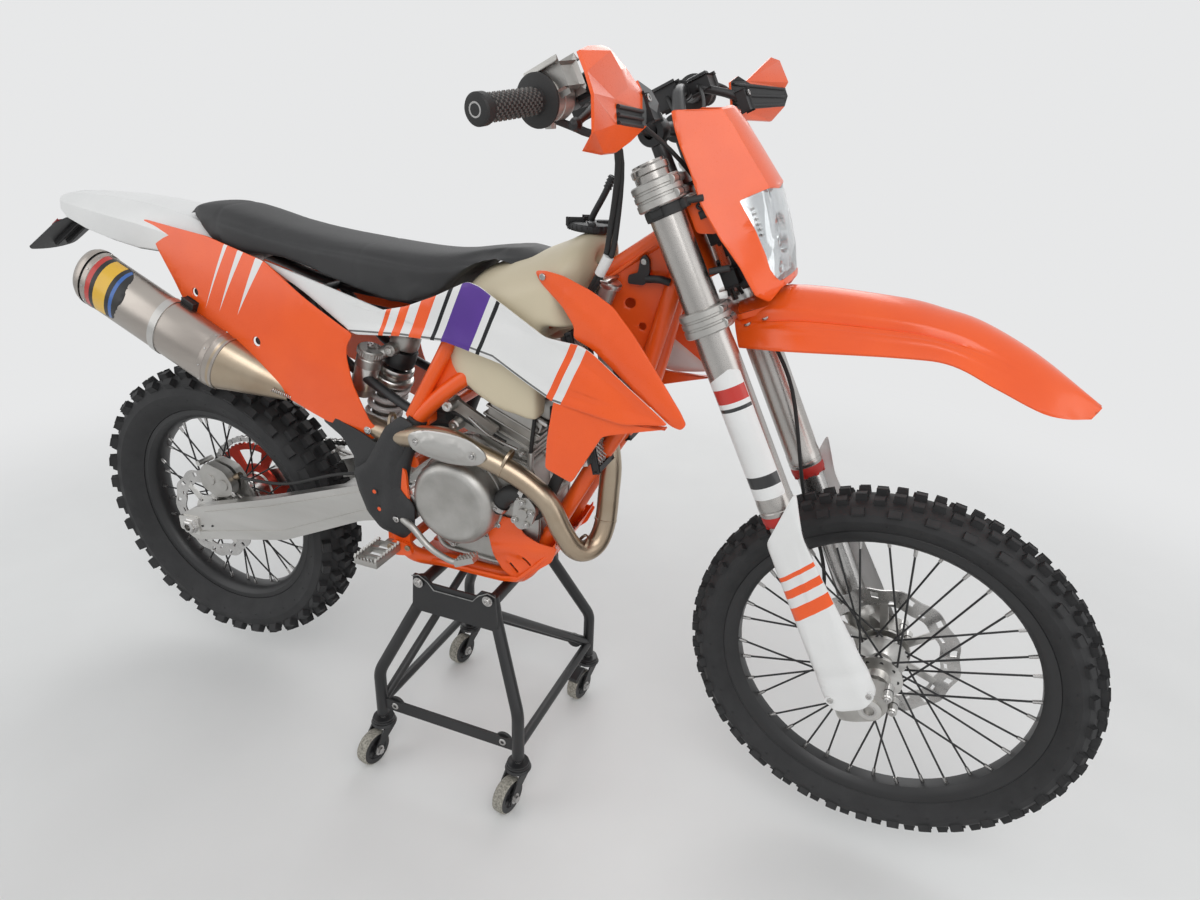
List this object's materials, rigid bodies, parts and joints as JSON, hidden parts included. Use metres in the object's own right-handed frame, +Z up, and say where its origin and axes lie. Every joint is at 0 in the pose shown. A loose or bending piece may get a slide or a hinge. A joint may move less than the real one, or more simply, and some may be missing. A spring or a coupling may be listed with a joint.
{
  "type": "enduro motorcycle on a paddock stand",
  "caption": "Off-road enduro motorcycle held clear of the floor by a braced paddock stand on swivel casters.",
  "frame": {"origin": "on the floor under the centre of the bounding box", "axes": "+X forward, +Y to the rider's left, +Z up"},
  "size_m": [2.255, 0.823, 1.4125],
  "materials": {
    "orange_plastic": "satin moulded plastic",
    "white_plastic": "satin moulded plastic",
    "ivory_plastic": "translucent moulded tank",
    "black_plastic": "textured",
    "seat_cover": "grained synthetic cover",
    "orange_frame": "powder coated",
    "black_metal": "satin powder coat",
    "caster_rubber": "worn",
    "tyre": "matt",
    "aluminium": "cast and machined",
    "steel": "brushed",
    "bronze_steel": "heat tinted",
    "spring_white": "gloss",
    "red_rubber": "matt",
    "grip_rubber": "matt",
    "hose_rubber": "satin",
    "lens": "clear",
    "red_lens": "glossy"
  },
  "bodies": {
    "chassis": {"chain": "steel", "crankcase": "aluminium", "cylinder": "aluminium", "engine_covers": "aluminium", "engine_hoses": "hose_rubber", "foot_levers": "steel", "footpegs": "steel", "frame": "orange_frame", "frame_guards": "black_plastic", "fuel_cap": "black_plastic", "fuel_tank": "ivory_plastic", "header_pipe": "bronze_steel", "heat_shield": "steel", "plate_holder": "black_plastic", "radiator_grilles": "black_plastic", "radiators": "aluminium", "rear_caliper": "steel", "rear_fender": "white_plastic", "seat": "seat_cover", "shock": "aluminium", "shock_spring": "spring_white", "shroud_bands": "white_plastic", "shroud_wings": "orange_plastic", "side_panels": "orange_plastic", "silencer": "steel", "skid_plate": "orange_plastic", "stand_frame": "black_metal", "swingarm": "aluminium", "tail_lamp": "red_lens"},
    "steering": {"upper_clamp": "aluminium", "lower_clamp": "aluminium", "fork_outer_tubes": "aluminium", "fork_wipers": "red_rubber", "fork_inner_tubes": "aluminium", "fork_guards": "white_plastic", "handlebar": "steel", "grips": "grip_rubber", "bar_controls": "aluminium", "hand_guards": "orange_plastic", "front_fender": "orange_plastic", "headlight_mask": "orange_plastic", "headlight": "lens", "instrument": "black_plastic", "front_caliper": "steel"},
    "front_wheel": {"front_tyre": "tyre", "front_rim": "black_metal", "front_hub": "aluminium"},
    "rear_wheel": {"rear_tyre": "tyre", "rear_rim": "black_metal", "rear_hub": "aluminium", "rear_sprocket": "steel"},
    "side_stand": {"side_stand": "steel"},
    "caster_rear_right": {"caster_fork_rear_right": "black_metal"},
    "caster_rear_right_wheel": {"caster_wheel_rear_right": "caster_rubber"},
    "caster_front_right": {"caster_fork_front_right": "black_metal"},
    "caster_front_right_wheel": {"caster_wheel_front_right": "caster_rubber"},
    "caster_rear_left": {"caster_fork_rear_left": "black_metal"},
    "caster_rear_left_wheel": {"caster_wheel_rear_left": "caster_rubber"},
    "caster_front_left": {"caster_fork_front_left": "black_metal"},
    "caster_front_left_wheel": {"caster_wheel_front_left": "caster_rubber"}
  },
  "joints": [
    {"name": "steering", "type": "hinge", "parent": "chassis", "child": "steering", "pos_m": [0.72753, 0.00205, 0.39857], "axis": [-0.4462, 0, 0.8949], "range_deg": [-38.5, 47.5]},
    {"name": "front_wheel_spin", "type": "hinge", "parent": "steering", "child": "front_wheel", "pos_m": [0.77839, -0.00242, 0.42392], "axis": [0.0702, 0.9969, 0.035], "continuous": true},
    {"name": "rear_wheel_spin", "type": "hinge", "parent": "chassis", "child": "rear_wheel", "pos_m": [-0.70346, 0.00205, 0.416], "axis": [0, 1, 0], "continuous": true},
    {"name": "side_stand_swing", "type": "hinge", "parent": "chassis", "child": "side_stand", "pos_m": [-0.17846, 0.16205, 0.46], "axis": [-0.0886, -0.9331, -0.3485], "range_deg": [0, 98]},
    {"name": "caster_rear_right_swivel", "type": "hinge", "parent": "chassis", "child": "caster_rear_right", "pos_m": [-0.18346, -0.16795, 0.1], "axis": [0, 0, 1], "continuous": true},
    {"name": "caster_rear_right_roll", "type": "hinge", "parent": "caster_rear_right", "child": "caster_rear_right_wheel", "pos_m": [-0.18971, -0.2034, 0.0375], "axis": [0.9848, -0.1736, 0], "continuous": true},
    {"name": "caster_front_right_swivel", "type": "hinge", "parent": "chassis", "child": "caster_front_right", "pos_m": [0.14054, -0.16795, 0.1], "axis": [0, 0, 1], "continuous": true},
    {"name": "caster_front_right_roll", "type": "hinge", "parent": "caster_front_right", "child": "caster_front_right_wheel", "pos_m": [0.13429, -0.2034, 0.0375], "axis": [0.9848, -0.1736, 0], "continuous": true},
    {"name": "caster_rear_left_swivel", "type": "hinge", "parent": "chassis", "child": "caster_rear_left", "pos_m": [-0.18346, 0.20205, 0.1], "axis": [0, 0, 1], "continuous": true},
    {"name": "caster_rear_left_roll", "type": "hinge", "parent": "caster_rear_left", "child": "caster_rear_left_wheel", "pos_m": [-0.18971, 0.1666, 0.0375], "axis": [0.9848, -0.1736, 0], "continuous": true},
    {"name": "caster_front_left_swivel", "type": "hinge", "parent": "chassis", "child": "caster_front_left", "pos_m": [0.14054, 0.20205, 0.1], "axis": [0, 0, 1], "continuous": true},
    {"name": "caster_front_left_roll", "type": "hinge", "parent": "caster_front_left", "child": "caster_front_left_wheel", "pos_m": [0.13429, 0.1666, 0.0375], "axis": [0.9848, -0.1736, 0], "continuous": true}
  ]
}
